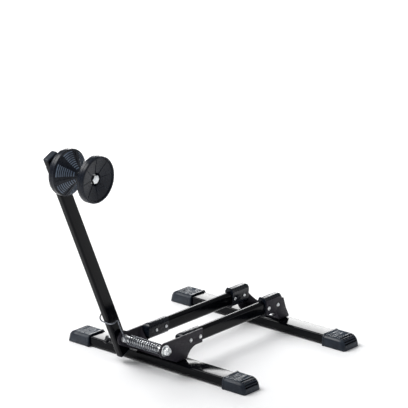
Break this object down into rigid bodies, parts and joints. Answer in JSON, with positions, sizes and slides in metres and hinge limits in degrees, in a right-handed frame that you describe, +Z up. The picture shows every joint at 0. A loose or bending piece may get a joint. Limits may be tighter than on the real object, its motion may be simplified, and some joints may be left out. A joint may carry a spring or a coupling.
{
  "type": "folding floor bike rack",
  "caption": "Folding floor rack for one bicycle wheel: two feet with end caps, two rails in pressed brackets, and a sprung arm with a grooved roller that holds the tyre.",
  "frame": {"origin": "on the floor, under the middle of the standing rack's box", "axes": "+X along the feet towards the pivot nut, +Y from the front foot with the arm towards the rear foot, +Z up"},
  "size_m": [0.3866, 0.5388, 0.4161],
  "materials": {
    "black_paint": "gloss black powder coat",
    "bracket_paint": "satin charcoal powder coat",
    "cap_plastic": "matt, dark blue-grey",
    "roller_plastic": "satin black",
    "zinc": "bright zinc plate",
    "spring_steel": "drawn wire, lightly oiled",
    "knob_plastic": "satin black"
  },
  "bodies": {
    "base": {"front_foot_tube": "black_paint", "rear_foot_tube": "black_paint", "front_right_foot_cap": "cap_plastic", "front_left_foot_cap": "cap_plastic", "rear_right_foot_cap": "cap_plastic", "rear_left_foot_cap": "cap_plastic", "front_bracket": "bracket_paint", "rear_bracket": "bracket_paint", "front_right_bracket_screw": "zinc", "front_left_bracket_screw": "zinc", "rear_right_bracket_screw": "zinc", "rear_left_bracket_screw": "zinc", "front_right_bracket_nut": "zinc", "front_left_bracket_nut": "zinc", "rear_right_bracket_nut": "zinc", "rear_left_bracket_nut": "zinc", "right_rail": "black_paint", "left_rail": "black_paint", "right_front_rail_sleeve": "cap_plastic", "right_rear_rail_sleeve": "cap_plastic", "left_front_rail_sleeve": "cap_plastic", "left_rear_rail_sleeve": "cap_plastic", "right_front_rail_rivet_1": "zinc", "right_front_rail_rivet_2": "zinc", "right_rear_rail_rivet_1": "zinc", "right_rear_rail_rivet_2": "zinc", "left_front_rail_rivet_1": "zinc", "left_front_rail_rivet_2": "zinc", "left_rear_rail_rivet_1": "zinc", "left_rear_rail_rivet_2": "zinc", "pivot_bolt": "zinc", "pivot_head_washer": "zinc", "pivot_spacer": "zinc", "pivot_clamp_nut": "zinc", "spring_core_tube": "zinc", "pivot_nut_washer": "zinc", "pivot_locknut": "zinc", "torsion_spring": "spring_steel"},
    "arm": {"arm_tube": "black_paint", "arm_top_plug": "cap_plastic", "arm_bottom_plug": "cap_plastic", "arm_pivot_bush": "zinc", "axle_bolt": "zinc", "axle_head_washer": "zinc", "axle_tube": "zinc", "axle_nut_washer": "zinc", "axle_nut": "zinc", "axle_spacer": "roller_plastic", "lock_nut": "zinc"},
    "roller": {"roller_right_half": "roller_plastic", "roller_left_half": "roller_plastic"},
    "lock_screw": {"lock_stud": "zinc"},
    "knob": {"lock_knob": "knob_plastic"}
  },
  "joints": [
    {"name": "arm_fold", "type": "hinge", "parent": "base", "child": "arm", "pos_m": [0, -0.07441, 0.0495], "axis": [1, 0, 0], "range_deg": [-114, 10], "stiffness_Nm_per_rad": 3, "springref_deg": -12.03, "deforming": ["torsion_spring"]},
    {"name": "roller_spin", "type": "hinge", "parent": "arm", "child": "roller", "pos_m": [0, -0.23081, 0.37741], "axis": [1, 0, 0], "continuous": true},
    {"name": "lock_travel", "type": "slide", "parent": "arm", "child": "lock_screw", "axis": [1, 0, 0], "range_m": [-0.0016, 0.0006]},
    {"name": "lock_turn", "type": "hinge", "parent": "lock_screw", "child": "knob", "pos_m": [-0.08, -0.06903, 0.03822], "axis": [1, 0, 0], "range_deg": [-725, 275]}
  ],
  "couplings": [
    {"joint": "lock_turn", "follows": "lock_travel", "rad_per_m": 7854}
  ]
}
